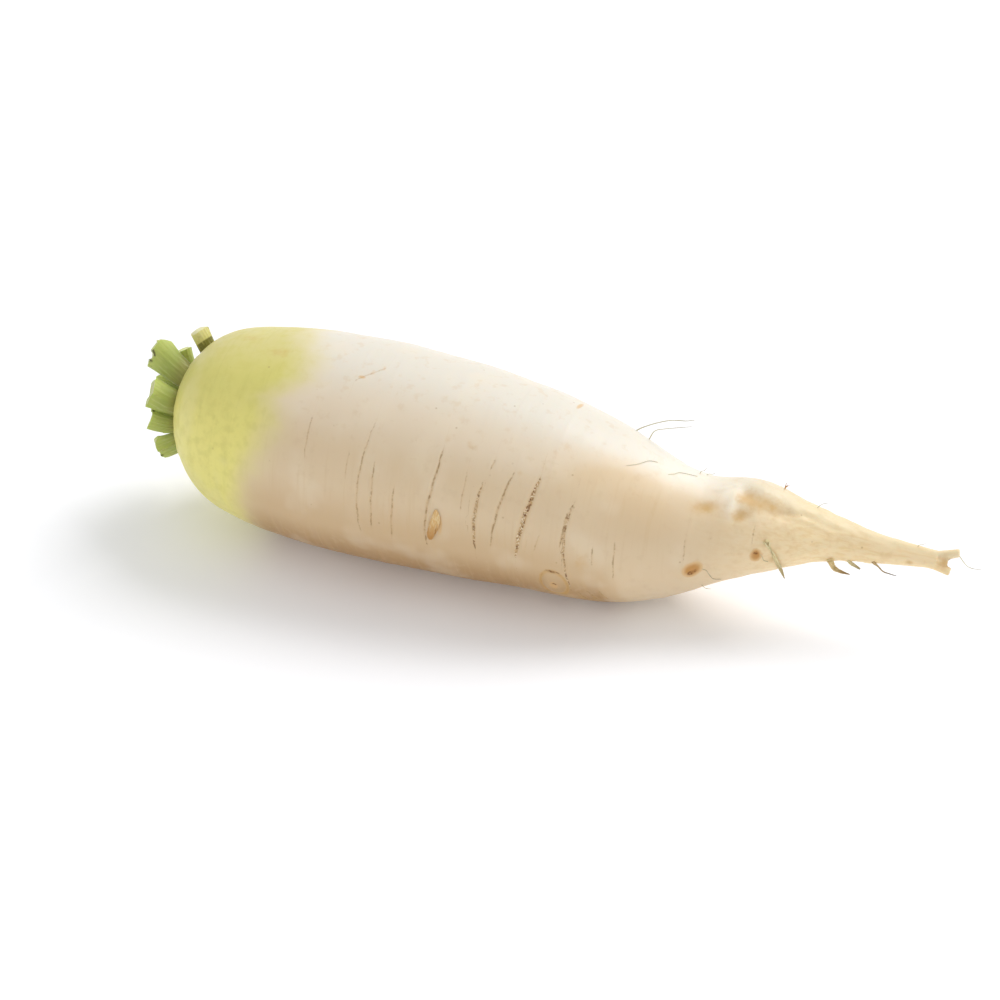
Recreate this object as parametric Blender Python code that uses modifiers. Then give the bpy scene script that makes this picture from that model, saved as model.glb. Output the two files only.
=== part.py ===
"""Daikon radish lying on its side: one grown taproot, its trimmed leaf stalks and its side roots.

The root runs along X, crown at -X and tip at +X, and rests on its belly on the plane Z = 0.
Dimensions are in millimetres and degrees, and MM turns them into metres. A station is the
distance along X from the crown's end. An angle is measured round the root: 0 is the front (-Y),
90 the top and 180 the back.
"""

import math

import bmesh
import bpy
from mathutils import Vector
from mathutils.bvhtree import BVHTree

MM = 0.001

# Overall places
CROWN_X = -145.0  # X of station 0
SETTLE = 1.4  # how far the round belly is pressed flat where it rests
CLEARANCE = 0.3  # gap between pieces that touch
SURFACE_REACH = 120.0  # longer than the way from outside the root to its middle
TABLE_SIZE = (400.0, 200.0, 20.0)  # the slab below Z = 0 that the belly is pressed flat on

# Taproot: station, radius, height of the middle line, its drift to the back, pinch into two strands
SECTIONS = (
    (4.0, 13.5, 43.0, 0.0, 0.0),
    (5.5, 17.2, 43.0, 0.0, 0.0),
    (9.0, 23.6, 43.0, 0.0, 0.0),
    (15.0, 30.2, 43.0, 0.0, 0.0),
    (24.0, 35.4, 43.0, 0.0, 0.0),
    (38.0, 38.6, 42.5, 0.0, 0.0),
    (56.0, 40.5, 42.2, 0.0, 0.0),
    (76.0, 41.5, 41.9, 0.0, 0.0),
    (98.0, 41.1, 41.3, 0.0, 0.0),
    (120.0, 39.8, 40.6, 0.0, 0.0),
    (140.0, 37.9, 39.3, 0.0, 0.0),
    (158.0, 36.0, 36.9, 0.0, 0.0),
    (173.0, 33.6, 33.8, 0.0, 0.0),
    (186.0, 29.2, 31.6, 0.5, 0.0),
    (198.0, 24.7, 30.2, 1.5, 0.0),
    (209.0, 21.0, 31.2, 3.0, 0.02),
    (219.0, 18.7, 34.2, 4.5, 0.05),
    (229.0, 17.3, 36.0, 6.0, 0.08),
    (240.0, 13.3, 36.5, 7.5, 0.1),
    (252.0, 9.1, 36.5, 9.0, 0.12),
    (266.0, 6.2, 35.5, 10.0, 0.14),
    (281.0, 4.3, 35.0, 10.0, 0.16),
    (296.0, 3.8, 34.5, 10.0, 0.18),
)
CAGE_SIDES = 12
CAGE_LEVELS = 2
PLATEAU_RADIUS = 9.0  # inner ring that keeps the crown's end flat
STRAND_ANGLE = 126.0  # the two strands of the tail lie at this angle and opposite it
WOBBLE = 0.006  # share of the radius by which the belly is out of round

# Lobe at the head of the upper strand: station, angle, height, half-length, half-angle
LOBE = (225.0, 112.0, 2.4, 9.0, 36.0)

# The forked tip: reach along X, shift along the strand angle, width against the tail's end
FORKS = ((5.2, 2.0, 0.8), (3.2, -1.6, 0.4))
FORK_STEPS = 2

# Leaf stalks: angle and radius at the crown, angle and radius at the cut, reach, half-width at the cut
OUTER_STALKS = (
    (90.0, 12.0, 90.0, 23.0, 14.5, 5.8),
    (44.0, 12.0, 56.0, 18.4, 9.8, 4.9),
    (7.0, 12.0, 12.0, 17.5, 7.5, 3.6),
    (-32.0, 12.0, -34.0, 18.5, 8.5, 4.4),
    (-75.0, 12.0, -78.0, 19.5, 11.0, 4.8),
    (-118.0, 12.0, -120.0, 19.5, 12.0, 4.6),
    (-160.0, 12.0, -161.0, 20.0, 13.0, 4.8),
    (161.0, 12.0, 159.0, 19.0, 12.5, 4.2),
    (125.0, 12.0, 118.0, 22.0, 8.0, 4.6),
)
INNER_STALKS = (
    (20.0, 6.2, 22.0, 9.6, 12.0, 3.0),
    (92.0, 6.2, 90.0, 10.4, 14.5, 3.2),
    (164.0, 6.2, 163.0, 9.8, 13.5, 3.0),
    (236.0, 6.2, 238.0, 9.6, 11.5, 2.8),
    (308.0, 6.2, 306.0, 9.4, 10.5, 3.0),
)
HEART_STALKS = (
    (60.0, 2.0, 70.0, 3.4, 9.0, 1.3),
    (180.0, 2.0, 190.0, 3.2, 7.5, 1.2),
    (300.0, 2.0, 310.0, 3.2, 6.5, 1.1),
)
OLD_STALK = (114.0, 22.5, 110.0, 30.0, 4.5, 3.6)
STALK_SIDES = 8
STALK_LEVELS = 1
STALK_STEPS = (0.0, 0.3, 0.7, 1.0)
BASE_WIDTH_SHARE = 0.64  # a stalk is narrower at the crown than at its cut
STALK_DEPTH_SHARE = 0.46  # half-thickness against half-width
OLD_DEPTH_SHARE = 0.85
CHANNEL_SHARE = 0.78  # how far a stalk's edges curl in towards the heart
STALK_SPLAY = 0.5  # how far out a stalk heads where it leaves the crown
STALK_PULL = 0.45  # share of its length over which it keeps that heading
SHOULDER_RISE = 0.04  # extra clearance, against the half-width, where the crown is round

# Side roots: station, angle, length, radius at the skin, lean towards the tip, swing round the root
SIDE_ROOTS = (
    (119.5, 13.0, 9.0, 0.9, -0.3, -4.5),
    (233.5, 8.0, 15.0, 1.2, 0.8, -1.2),
    (254.0, -42.0, 8.5, 1.1, 3.6, -0.1),
    (262.5, -44.0, 4.5, 0.7, 3.0, 0.0),
    (270.0, -46.0, 10.5, 0.6, 5.5, 0.4),
    (232.0, 206.0, 12.0, 0.9, 0.8, 0.2),
    (249.0, 214.0, 9.0, 0.8, 1.0, -0.1),
    (264.0, 222.0, 7.0, 0.6, 1.2, 0.1),
)
ROOT_STEPS = 6
ROOT_RISE = 0.1  # extra clearance, against the radius, over the round skin
ROOT_STRAIGHT = 0.18  # share of its length that a side root runs straight out of the skin
ROOT_TIP_SHARE = 0.3

# Colours in linear light, with roughness
COLOURS = {
    "root_skin": ((0.84, 0.77, 0.64), 0.5),
    "stalk_green": ((0.38, 0.48, 0.13), 0.55),
    "stalk_pale": ((0.66, 0.62, 0.26), 0.55),
    "side_root_straw": ((0.62, 0.42, 0.2), 0.7),
}


def clear_scene():
    for thing in list(bpy.data.objects):
        bpy.data.objects.remove(thing, do_unlink=True)


def new_collection(name):
    group = bpy.data.collections.new(name)
    bpy.context.scene.collection.children.link(group)
    return group


def new_material(name):
    colour, roughness = COLOURS[name]
    material = bpy.data.materials.new(name)
    material.use_nodes = True
    shader = material.node_tree.nodes["Principled BSDF"]
    shader.inputs["Base Color"].default_value = (*colour, 1.0)
    shader.inputs["Roughness"].default_value = roughness
    shader.inputs["Metallic"].default_value = 0.0
    material.diffuse_color = (*colour, 1.0)
    return material


def fullness(sides):
    """How much a subdivided ring shrinks from its cage of this many sides."""
    return (2.0 + math.cos(2.0 * math.pi / sides)) / 3.0


def outward(angle):
    """The direction straight out of the root at an angle."""
    turn = math.radians(angle)
    return Vector((0.0, -math.cos(turn), math.sin(turn)))


def middle_line(station):
    """Height and drift of the root's middle line at a station."""
    for near, far in zip(SECTIONS, SECTIONS[1:]):
        if station <= far[0]:
            share = max(0.0, (station - near[0]) / (far[0] - near[0]))
            height = near[2] + share * (far[2] - near[2])
            drift = near[3] + share * (far[3] - near[3])
            return height - SETTLE, drift
    return SECTIONS[-1][2] - SETTLE, SECTIONS[-1][3]


def lobe_height(station, angle):
    """How far the lobe stands off the round root at a place on its skin."""
    middle, side, height, half_length, half_angle = LOBE
    along = (station - middle) / half_length
    across = (angle - side) / half_angle
    return height * math.exp(-(along**2) - across**2)


def root_ring(station, radius, height, drift, pinch):
    """One cage ring of the taproot, in metres."""
    ring = []
    for side in range(CAGE_SIDES):
        angle = 360.0 * side / CAGE_SIDES
        apart = math.radians(angle - STRAND_ANGLE)
        shape = 1.0 - 2.0 * pinch * math.sin(apart) ** 2
        shape += WOBBLE * math.sin(3.0 * math.radians(angle) + station / 30.0)
        reach = (radius * shape + lobe_height(station, angle)) / fullness(CAGE_SIDES)
        middle = Vector((CROWN_X + station, drift, height - SETTLE))
        ring.append((middle + reach * outward(angle)) * MM)
    return ring


def loft(bm, rings):
    """Joins rings of equal count with four-sided faces, and returns their vertices."""
    loops = [[bm.verts.new(point) for point in ring] for ring in rings]
    for near, far in zip(loops, loops[1:]):
        for i in range(len(near)):
            j = (i + 1) % len(near)
            bm.faces.new((near[i], near[j], far[j], far[i]))
    return loops


def fork_tip(bm, end_loop):
    """Splits the tail's end face in two and draws each half out into a short stub."""
    end_face = bm.faces.new(end_loop)
    along = outward(STRAND_ANGLE)
    middle = sum((v.co for v in end_loop), Vector()) / len(end_loop)
    by_side = sorted(end_loop, key=lambda v: abs((v.co - middle).dot(along)))
    halves = bmesh.utils.face_split(end_face, by_side[0], by_side[1])
    faces = [end_face, halves[0]]
    faces.sort(key=lambda f: -(f.calc_center_median() - middle).dot(along))
    for face, (reach, shift, width) in zip(faces, FORKS):
        step = (Vector((reach, 0.0, 0.0)) + shift * along) * MM / FORK_STEPS
        narrowing = width ** (1.0 / FORK_STEPS)
        for _ in range(FORK_STEPS):
            grown = bmesh.ops.extrude_discrete_faces(bm, faces=[face])
            face = grown["faces"][0]
            centre = face.calc_center_median()
            for vertex in face.verts:
                vertex.co = centre + (vertex.co - centre) * narrowing + step


def finish_mesh(name, bm, group, material, levels):
    """Turns a cage into a smooth object in its collection."""
    bmesh.ops.recalc_face_normals(bm, faces=bm.faces)
    mesh = bpy.data.meshes.new(name)
    bm.to_mesh(mesh)
    bm.free()
    thing = bpy.data.objects.new(name, mesh)
    group.objects.link(thing)
    mesh.materials.append(material)
    smooth = thing.modifiers.new("Smooth", "SUBSURF")
    smooth.levels = levels
    smooth.render_levels = levels
    mesh.shade_smooth()
    return thing


def add_cutter(name, size, centre, group):
    """A box that cuts other pieces and isn't part of the radish, in millimetres."""
    bm = bmesh.new()
    bmesh.ops.create_cube(bm, size=1.0)
    bmesh.ops.scale(bm, vec=Vector(size) * MM, verts=bm.verts)
    mesh = bpy.data.meshes.new(name)
    bm.to_mesh(mesh)
    bm.free()
    box = bpy.data.objects.new(name, mesh)
    box.location = Vector(centre) * MM
    box.hide_render = True
    box.display_type = "WIRE"
    group.objects.link(box)
    return box


def add_taproot(group, cutters):
    """The grown root: a coarse cage smoothed, forked at its tip and flat where it rests."""
    bm = bmesh.new()
    station, _, *line = SECTIONS[0]
    inner = root_ring(station, PLATEAU_RADIUS, *line)
    loops = loft(bm, [inner] + [root_ring(*section) for section in SECTIONS])
    bm.faces.new(reversed(loops[0]))
    fork_tip(bm, loops[-1])
    root = finish_mesh("taproot", bm, group, new_material("root_skin"), CAGE_LEVELS)
    table = add_cutter("table_top", TABLE_SIZE, (0.0, 0.0, -0.5 * TABLE_SIZE[2]), cutters)
    rest = root.modifiers.new("Rest", "BOOLEAN")
    rest.operation = "DIFFERENCE"
    rest.object = table
    return root


def surface_of(thing):
    """A search tree of an object's finished surface."""
    bpy.context.view_layer.update()
    return BVHTree.FromObject(thing, bpy.context.evaluated_depsgraph_get())


def crown_spot(surface, angle, radius):
    """Point and normal of the crown's end at an angle and radius round the middle line."""
    height, drift = middle_line(0.0)
    start = Vector((CROWN_X - SURFACE_REACH, drift, height)) + radius * outward(angle)
    point, normal, _, _ = surface.ray_cast(start * MM, Vector((1.0, 0.0, 0.0)))
    return point / MM, normal


def skin_spot(surface, station, angle):
    """Point and normal of the root's skin at a station and an angle."""
    height, drift = middle_line(station)
    middle = Vector((CROWN_X + station, drift, height))
    start = middle + SURFACE_REACH * outward(angle)
    point, normal, _, _ = surface.ray_cast(start * MM, -outward(angle))
    return point / MM, normal


def bezier(start, pull, end, share):
    return (1 - share) ** 2 * start + 2 * share * (1 - share) * pull + share**2 * end


def stalk_ring(centre, axis, angle, half_width, half_depth, curl):
    """One ring of a leaf stalk: rounded outside, channelled towards the heart, in metres."""
    around = outward(angle + 90.0)
    around = (around - around.dot(axis) * axis).normalized()
    out = axis.cross(around)
    if out.dot(outward(angle)) < 0.0:
        out = -out
    ring = []
    for side in range(STALK_SIDES):
        turn = 2.0 * math.pi * side / STALK_SIDES
        across = half_width * math.cos(turn) / fullness(STALK_SIDES)
        deep = half_depth * math.sin(turn) / fullness(STALK_SIDES)
        deep += curl * (0.5 - math.cos(turn) ** 2)
        ring.append((centre + across * around + deep * out) * MM)
    return ring


def add_stalk(name, layout, depth_share, surface, group, material):
    """One trimmed leaf stalk, standing off the crown by the clearance."""
    angle, radius, end_angle, end_radius, reach, half_width = layout
    foot, normal = crown_spot(surface, angle, radius)
    height, drift = middle_line(0.0)
    end = Vector((foot.x - reach, drift, height)) + end_radius * outward(end_angle)
    start = foot + (CLEARANCE + SHOULDER_RISE * half_width * (1.0 + normal.x)) * normal
    rising = (normal + STALK_SPLAY * outward(angle)).normalized()
    pull = start + STALK_PULL * (end - start).length * rising
    end_axis = (end - pull).normalized()
    rings = []
    for share in STALK_STEPS:
        centre = bezier(start, pull, end, share)
        axis = normal.lerp(end_axis, share).normalized()
        width = half_width * (BASE_WIDTH_SHARE + (1.0 - BASE_WIDTH_SHARE) * share)
        depth = depth_share * half_width
        curl = CHANNEL_SHARE * half_width * share * (1.0 - depth_share)
        turn = angle + (end_angle - angle) * share
        rings.append(stalk_ring(centre, axis, turn, width, depth, curl))
    bm = bmesh.new()
    crease = bm.edges.layers.float.new("crease_edge")
    loops = loft(bm, rings)
    for loop in (loops[0], loops[-1]):
        cap = bm.faces.new(loop)
        for edge in cap.edges:
            edge[crease] = 1.0
    return finish_mesh(name, bm, group, material, STALK_LEVELS)


def add_side_root(name, layout, surface, group, material):
    """One side root: a tapering tube that leaves the skin and bends away."""
    station, angle, length, thickness, lean, swing = layout
    foot, normal = skin_spot(surface, station, angle)
    start = foot + (CLEARANCE + ROOT_RISE * thickness) * normal
    around = outward(angle + 90.0)
    heading = (normal + Vector((lean, 0.0, 0.0)) + swing * around).normalized()
    pull = start + ROOT_STRAIGHT * length * normal
    end = pull + (1.0 - ROOT_STRAIGHT) * length * heading
    curve = bpy.data.curves.new(name, "CURVE")
    curve.dimensions = "3D"
    curve.bevel_depth = thickness * MM
    curve.bevel_resolution = 2
    curve.use_fill_caps = True
    line = curve.splines.new("POLY")
    line.points.add(ROOT_STEPS)
    for step, point in enumerate(line.points):
        share = step / ROOT_STEPS
        point.co = (*(bezier(start, pull, end, share) * MM), 1.0)
        point.radius = 1.0 - (1.0 - ROOT_TIP_SHARE) * share
    curve.materials.append(material)
    thing = bpy.data.objects.new(name, curve)
    group.objects.link(thing)
    return thing


def main():
    clear_scene()
    radish = new_collection("daikon_radish")
    cutters = new_collection("cutters")
    taproot = add_taproot(radish, cutters)
    surface = surface_of(taproot)
    green = new_material("stalk_green")
    pale = new_material("stalk_pale")
    straw = new_material("side_root_straw")
    for number, layout in enumerate(OUTER_STALKS, 1):
        add_stalk(f"outer_stalk_{number}", layout, STALK_DEPTH_SHARE, surface, radish, green)
    for number, layout in enumerate(INNER_STALKS, 1):
        add_stalk(f"inner_stalk_{number}", layout, STALK_DEPTH_SHARE, surface, radish, green)
    for number, layout in enumerate(HEART_STALKS, 1):
        add_stalk(f"heart_stalk_{number}", layout, STALK_DEPTH_SHARE, surface, radish, pale)
    add_stalk("old_stalk_stub", OLD_STALK, OLD_DEPTH_SHARE, surface, radish, pale)
    for number, layout in enumerate(SIDE_ROOTS, 1):
        add_side_root(f"side_root_{number}", layout, surface, radish, straw)


main()
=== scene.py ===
"""The looks of a whole daikon radish, as picked and trimmed, lying on a pale floor.

The root runs along X with its crown at -X. A station is the distance along X from the crown's end, and
an angle is measured round the root: 0 is the front (-Y), 90 the top and 180 the back. Lists are in
millimetres and degrees, and MM turns them into metres.
"""

import math
from functools import partial

import bpy
import numpy as np
from mathutils import Matrix, Vector, noise
from mathutils.bvhtree import BVHTree


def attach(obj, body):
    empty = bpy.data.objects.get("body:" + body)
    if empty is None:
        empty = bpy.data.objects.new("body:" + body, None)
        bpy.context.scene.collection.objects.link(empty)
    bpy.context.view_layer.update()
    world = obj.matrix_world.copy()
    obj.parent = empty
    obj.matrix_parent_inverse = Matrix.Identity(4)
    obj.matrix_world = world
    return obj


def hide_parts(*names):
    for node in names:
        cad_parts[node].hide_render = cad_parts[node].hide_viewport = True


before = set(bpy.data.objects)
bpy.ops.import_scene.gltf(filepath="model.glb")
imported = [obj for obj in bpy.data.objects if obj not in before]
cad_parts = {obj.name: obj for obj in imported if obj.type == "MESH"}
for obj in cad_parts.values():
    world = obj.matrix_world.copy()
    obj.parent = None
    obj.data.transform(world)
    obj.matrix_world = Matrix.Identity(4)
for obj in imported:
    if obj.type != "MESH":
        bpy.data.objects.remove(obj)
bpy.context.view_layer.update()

MM = 0.001
CROWN_X = -145.0  # X of station 0

# The root's middle line: station, height above the floor, drift to the back
MIDDLE_LINE = np.array([
    (4.0, 41.6, 0.0),
    (24.0, 41.6, 0.0),
    (56.0, 40.8, 0.0),
    (98.0, 39.9, 0.0),
    (120.0, 39.2, 0.0),
    (140.0, 37.9, 0.0),
    (158.0, 35.5, 0.0),
    (173.0, 32.4, 0.0),
    (186.0, 30.2, 0.5),
    (198.0, 28.8, 1.5),
    (209.0, 29.8, 3.0),
    (219.0, 32.8, 4.5),
    (229.0, 34.6, 6.0),
    (252.0, 35.1, 9.0),
    (266.0, 34.1, 10.0),
    (296.0, 33.1, 10.0),
])

# ---------------------------------------------------------------- camera, light and floor

VIEW_AZIMUTH = 20.0
VIEW_ELEVATION = 34.0
VIEW_DISTANCE = 1100.0
VIEW_AIM = (-15.0, 0.0, 28.5)
LENS = 105.96
SENSOR = 36.0
SKY_STRENGTH = 0.69

# The studio light and the floor, in metres and watts
KEY_PLACE = (2.5, 3.5, 4.9)
KEY_AIM = (0.0, 0.0, 0.03)
KEY_SIZE = 3.6
KEY_POWER = 258.0
KEY_COLOUR = (1.0, 0.99, 0.975)
FLOOR_SIZE = 40.0


def add_camera():
    turn = math.radians(VIEW_AZIMUTH)
    rise = math.radians(VIEW_ELEVATION)
    level = math.cos(rise)
    back = Vector((math.sin(turn) * level, -math.cos(turn) * level, math.sin(rise)))
    right = Vector((math.cos(turn), math.sin(turn), 0.0))
    up = back.cross(right)
    lens = bpy.data.cameras.new("camera")
    lens.lens = LENS
    lens.sensor_width = SENSOR
    camera = bpy.data.objects.new("camera", lens)
    place = Matrix((right, up, back)).transposed().to_4x4()
    place.translation = (Vector(VIEW_AIM) + VIEW_DISTANCE * back) * MM
    camera.matrix_world = place
    bpy.context.scene.collection.objects.link(camera)
    bpy.context.scene.camera = camera


def add_soft_light():
    """A large square studio light, high on the right, behind the root."""
    lamp = bpy.data.lights.new("key", "AREA")
    lamp.shape = "SQUARE"
    lamp.size = KEY_SIZE
    lamp.energy = KEY_POWER
    lamp.color = KEY_COLOUR
    light = bpy.data.objects.new("key", lamp)
    light.location = KEY_PLACE
    heading = Vector(KEY_AIM) - Vector(KEY_PLACE)
    light.rotation_euler = heading.to_track_quat("-Z", "Y").to_euler()
    bpy.context.scene.collection.objects.link(light)


def light_the_studio():
    scene = bpy.context.scene
    scene.view_settings.view_transform = "Standard"
    world = bpy.data.worlds.new("studio")
    world.use_nodes = True
    sky = world.node_tree.nodes["Background"]
    sky.inputs["Color"].default_value = (1.0, 1.0, 1.0, 1.0)
    sky.inputs["Strength"].default_value = SKY_STRENGTH
    scene.world = world
    add_soft_light()


def add_floor():
    bpy.ops.object.select_all(action="DESELECT")
    bpy.ops.mesh.primitive_plane_add(size=FLOOR_SIZE)
    floor = bpy.context.object
    floor.name = "floor"
    floor.data.materials.append(white_acrylic())


# ---------------------------------------------------------------- material helpers

USUAL_SETTINGS = {"MapRange": {"interpolation_type": "SMOOTHSTEP"}, "Mix": {"data_type": "RGBA"}}


def tone(code):
    """A colour given as #RRGGBB in sRGB, turned to linear light."""
    channels = [int(code[i : i + 2], 16) / 255.0 for i in (1, 3, 5)]
    linear = [c / 12.92 if c <= 0.04045 else ((c + 0.055) / 1.055) ** 2.4 for c in channels]
    return (*linear, 1.0)


def add(tree, kind, *values, out=None, **named):
    """Adds a node, such as "TexNoise" or "Math ADD", and returns one output, the first if none is named.

    Values go to its sockets in order. A name with a capital is a socket's label, any other a setting.
    """
    kind, *operation = kind.split()
    node = tree.nodes.new("ShaderNode" + kind)
    settings = {**USUAL_SETTINGS.get(kind, {}), **({"operation": operation[0]} if operation else {}), **named}
    for name, value in settings.items():
        if name[0].islower():
            setattr(node, name, value)
    wanted = list(zip([s for s in node.inputs if s.enabled], values))
    wanted += [(node.inputs[name.replace("_", " ")], v) for name, v in named.items() if name[0].isupper()]
    for socket, value in wanted:
        if isinstance(value, bpy.types.NodeSocket):
            tree.links.new(value, socket)
        elif value is not None:
            socket.default_value = value
    return node.outputs[out] if out else next(s for s in node.outputs if s.enabled)


def shader_input(material, label):
    """The socket of a material's Principled shader with that label, its spaces given as underscores."""
    return material.node_tree.nodes["Principled BSDF"].inputs[label.replace("_", " ")]


def start_material(name, **fixed):
    """A Principled material with fixed values on its shader, and the function that adds a node to it."""
    material = bpy.data.materials.new(name)
    material.use_nodes = True
    for label, value in fixed.items():
        shader_input(material, label).default_value = value
    return material, partial(add, material.node_tree)


def finish_material(material, **links):
    """Links outputs to the shader's sockets."""
    for label, value in links.items():
        material.node_tree.links.new(value, shader_input(material, label))
    return material


def object_place(node):
    """The place on a piece, in millimetres."""
    return node("VectorMath MULTIPLY", node("TexCoord", out="Object"), (1.0 / MM,) * 3)


# In the materials below, each coat of colour is given as its share of the colour, from 0 to 1, and its
# tone. A MapRange takes a pattern, the value where the coat starts, the value where it is full, and the
# least and the greatest share. A pattern's scale is one over a size in millimetres


def white_acrylic():
    """Matt white acrylic table, lit faintly from below: bright and plain, so only a soft shadow shows."""
    material, _ = start_material(
        "matt_white_acrylic",
        Base_Color=tone("#F5F6FA"),
        Roughness=0.9,
        Emission_Color=tone("#FFFFFF"),
        Emission_Strength=0.1,
    )
    return material


def shoulder_green(node, earth, cloud, mottle, band):
    """The green of the shoulder, with painted shade: greyer on the upper back, which faces the light, and
    brighter yellow on the sides.
    """
    green = tone("#D9D08C")
    for share, coat in (
        (node("MapRange", earth, 0.06, 0.3), tone("#DBD47C")),
        (node("MapRange", earth, 0.28, 0.58), tone("#EEE588")),
        (node("MapRange", mottle, 0.4, 0.7, 0.0, 0.35), tone("#D3CB72")),
        (node("MapRange", band, 0.5, 0.75, 0.0, 0.1), tone("#B9B45E")),
        (node("MapRange", cloud, 0.55, 0.7, 0.0, 0.3), tone("#E9E09C")),
    ):
        green = node("Mix", share, green, coat)
    return green


def tail_straw(node, earth, mottle, fibre):
    """The straw of the tail: fibrous, and greyer on the side turned to the light, as painted shade against
    it.
    """
    straw = tone("#FDE6B8")
    for share, coat in (
        (node("MapRange", fibre, 0.42, 0.68, 0.0, 0.8), tone("#F3D59C")),
        (node("MapRange", mottle, 0.5, 0.7, 0.0, 0.4), tone("#EACA92")),
        (node("MapRange", earth, 0.4, 0.1, 0.0, 0.55), tone("#E4D2A4")),
    ):
        straw = node("Mix", share, straw, coat)
    return straw


def crease_coats(node, place, speck, offset, half, strength):
    """The coats of the creases, and where their corky bands and dark dots are.

    Offset from the line and half-width are in millimetres. A line breaks into dashes, and only a strong
    one is a corky band with dark dots and pale flecks.
    """
    strong = node("MapRange", strength, 0.55, 1.0)
    wander = node("Math ADD", node("TexNoise", place, 1 / 1.3, 2.0, 0.6, out="Fac"), -0.5)
    away = node("Math ABSOLUTE", node("Math MULTIPLY_ADD", wander, 0.6, offset))
    dashes = node("MapRange", node("TexNoise", place, 1 / 2.0, 3.0, 0.7, out="Fac"), 0.44, 0.62)
    present = node("MapRange", half, 0.02, 0.12)
    band = node("MapRange", node("Math SUBTRACT", half, away), -0.15, 0.2)
    line_reach = node("Math MULTIPLY_ADD", half, 0.25, node("Math SUBTRACT", 0.26, away))
    line = node("Math MULTIPLY", node("MapRange", line_reach, -0.08, 0.14), present)
    halo_reach = node("Math MULTIPLY_ADD", half, 2.0, node("Math SUBTRACT", 0.3, away))
    halo = node("Math MULTIPLY", node("MapRange", halo_reach, 0.0, 1.3, 0.0, 0.55), present)
    dots = node("Math MULTIPLY", band, node("MapRange", speck, 0.51, 0.61))
    flecks = node("Math MULTIPLY", band, node("MapRange", speck, 0.47, 0.4))
    coats = (
        (node("Math MULTIPLY", halo, node("Math MULTIPLY_ADD", strength, 0.6, 0.3)), tone("#D9BC90")),
        (node("Math MULTIPLY", band, node("Math MULTIPLY_ADD", strong, 0.5, 0.2)), tone("#C19A66")),
        (node("Math MULTIPLY", line, node("Math MULTIPLY", dashes, strength)), tone("#96754B")),
        (node("Math MULTIPLY", dots, node("Math MULTIPLY", dashes, strong)), tone("#6B3A2A")),
        (node("Math MULTIPLY", flecks, strong), tone("#F0DFC0")),
    )
    return coats, band, dots


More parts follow.
